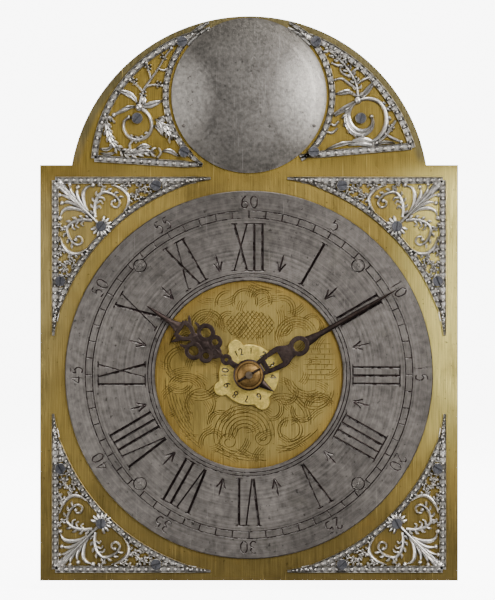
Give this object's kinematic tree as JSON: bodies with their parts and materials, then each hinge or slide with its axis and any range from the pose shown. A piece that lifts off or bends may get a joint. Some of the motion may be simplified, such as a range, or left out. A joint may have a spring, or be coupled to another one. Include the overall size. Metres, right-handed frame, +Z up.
{
  "type": "alarm wall clock",
  "caption": "Weight-driven alarm wall clock with a break-arch brass dial, silvered hour ring, pierced spandrels, verge pendulum movement and bell.",
  "frame": {"origin": "centre of the wall hook's eye, on the plane of the wall", "axes": "+X to the right seen from the front, +Y from the dial to the wall, +Z up"},
  "size_m": [0.178, 0.1109, 0.2404],
  "materials": {
    "dial_brass": "brushed, lacquer gone, tarnished at the edges",
    "silvered_brass": "silvered and brushed in circles, wax-filled engraving",
    "boss_silver": "silvered, bare, pitted",
    "white_metal": "cast, silvered, worn on the high parts",
    "hand_iron": "browned iron",
    "collet_brass": "coppery, polished by use",
    "alarm_brass": "pale polished brass",
    "steel": "turned and stoned steel",
    "movement_brass": "stoned brass, gone dull",
    "bell_metal": "turned bell metal",
    "black_iron": "forged and blacked"
  },
  "bodies": {
    "frame": {"dial_plate": "dial_brass", "chapter_ring": "silvered_brass", "arch_boss": "boss_silver", "dial_rivets": "dial_brass", "corner_spandrel_upper_right": "white_metal", "corner_spandrel_upper_left": "white_metal", "corner_spandrel_lower_right": "white_metal", "corner_spandrel_lower_left": "white_metal", "arch_spandrel_right": "white_metal", "arch_spandrel_left": "white_metal", "spandrel_screws": "steel", "dial_feet": "movement_brass", "taper_pins": "steel", "front_plate": "movement_brass", "back_plate": "movement_brass", "pillars": "movement_brass", "minute_stud": "steel", "potence": "movement_brass", "back_cock": "movement_brass", "alarm_stud": "steel", "alarm_cocks": "movement_brass", "bell": "bell_metal", "bell_stand": "black_iron", "bell_fixings": "steel", "hanging_bracket": "black_iron", "wall_spikes": "black_iron", "frame_screws": "steel"},
    "centre": {"centre_arbor": "steel", "centre_wheel": "movement_brass", "cannon_pinion": "movement_brass", "minute_hand": "hand_iron", "hand_collet": "collet_brass", "hand_pin": "steel"},
    "great": {"great_arbor": "steel", "great_wheel": "movement_brass", "pulley_cheeks": "movement_brass", "pulley_core": "steel", "ratchet_wheel": "steel", "click": "steel", "click_spring": "steel"},
    "third": {"third_arbor": "steel", "contrate_wheel": "movement_brass"},
    "crown": {"crown_arbor": "steel", "crown_wheel": "movement_brass"},
    "minute": {"minute_wheel": "movement_brass", "minute_pinion": "steel"},
    "hour": {"hour_wheel": "movement_brass", "hour_hand": "hand_iron"},
    "alarm_set": {"alarm_disc": "alarm_brass", "alarm_cam": "movement_brass"},
    "verge": {"verge": "steel", "pendulum_rod": "steel"},
    "bob": {"pendulum_bob": "movement_brass"},
    "alarm_wheel": {"alarm_crown_wheel": "movement_brass", "alarm_pulley_cheeks": "movement_brass", "alarm_pulley_core": "steel"},
    "alarm_verge": {"alarm_verge": "steel", "alarm_hammer": "steel"},
    "trip": {"trip_lever": "steel"}
  },
  "joints": [
    {"name": "minute_hand_turn", "type": "hinge", "parent": "frame", "child": "centre", "pos_m": [0, -0.1, -0.0856], "axis": [0, 1, 0], "continuous": true},
    {"name": "great_wheel_turn", "type": "hinge", "parent": "frame", "child": "great", "pos_m": [0, -0.08, -0.12655], "axis": [0, 1, 0], "continuous": true},
    {"name": "contrate_turn", "type": "hinge", "parent": "frame", "child": "third", "pos_m": [0, -0.084, -0.0583], "axis": [0, 1, 0], "continuous": true},
    {"name": "crown_wheel_turn", "type": "hinge", "parent": "frame", "child": "crown", "pos_m": [0, -0.063, -0.0317], "axis": [0, 0, 1], "continuous": true},
    {"name": "minute_wheel_turn", "type": "hinge", "parent": "frame", "child": "minute", "pos_m": [0.0234, -0.0918, -0.0856], "axis": [0, 1, 0], "continuous": true},
    {"name": "hour_hand_turn", "type": "hinge", "parent": "frame", "child": "hour", "pos_m": [0, -0.1, -0.0856], "axis": [0, 1, 0], "continuous": true},
    {"name": "alarm_setting", "type": "hinge", "parent": "hour", "child": "alarm_set", "pos_m": [0, -0.1, -0.0856], "axis": [0, 1, 0], "continuous": true},
    {"name": "pendulum_swing", "type": "hinge", "parent": "frame", "child": "verge", "pos_m": [0, -0.02, -0.021], "axis": [0, 1, 0], "range_deg": [-12, 12]},
    {"name": "bob_rating", "type": "slide", "parent": "verge", "child": "bob", "axis": [0, 0, 1], "range_m": [-0.005, 0.005]},
    {"name": "alarm_wheel_turn", "type": "hinge", "parent": "frame", "child": "alarm_wheel", "pos_m": [-0.036, -0.0715, -0.0436], "axis": [0, 1, 0], "continuous": true},
    {"name": "hammer_swing", "type": "hinge", "parent": "frame", "child": "alarm_verge", "pos_m": [-0.036, -0.0596, -0.0436], "axis": [0, 0, 1], "range_deg": [-22, 22]},
    {"name": "trip_lift", "type": "hinge", "parent": "frame", "child": "trip", "pos_m": [-0.026, -0.086, -0.0696], "axis": [0, 1, 0], "range_deg": [0, 8]}
  ],
  "couplings": [
    {"joint": "great_wheel_turn", "follows": "minute_hand_turn", "ratio": -0.083333},
    {"joint": "contrate_turn", "follows": "minute_hand_turn", "ratio": -12},
    {"joint": "crown_wheel_turn", "follows": "minute_hand_turn", "ratio": -144},
    {"joint": "minute_wheel_turn", "follows": "minute_hand_turn", "ratio": -0.66667},
    {"joint": "hour_hand_turn", "follows": "minute_hand_turn", "ratio": 0.083333}
  ]
}
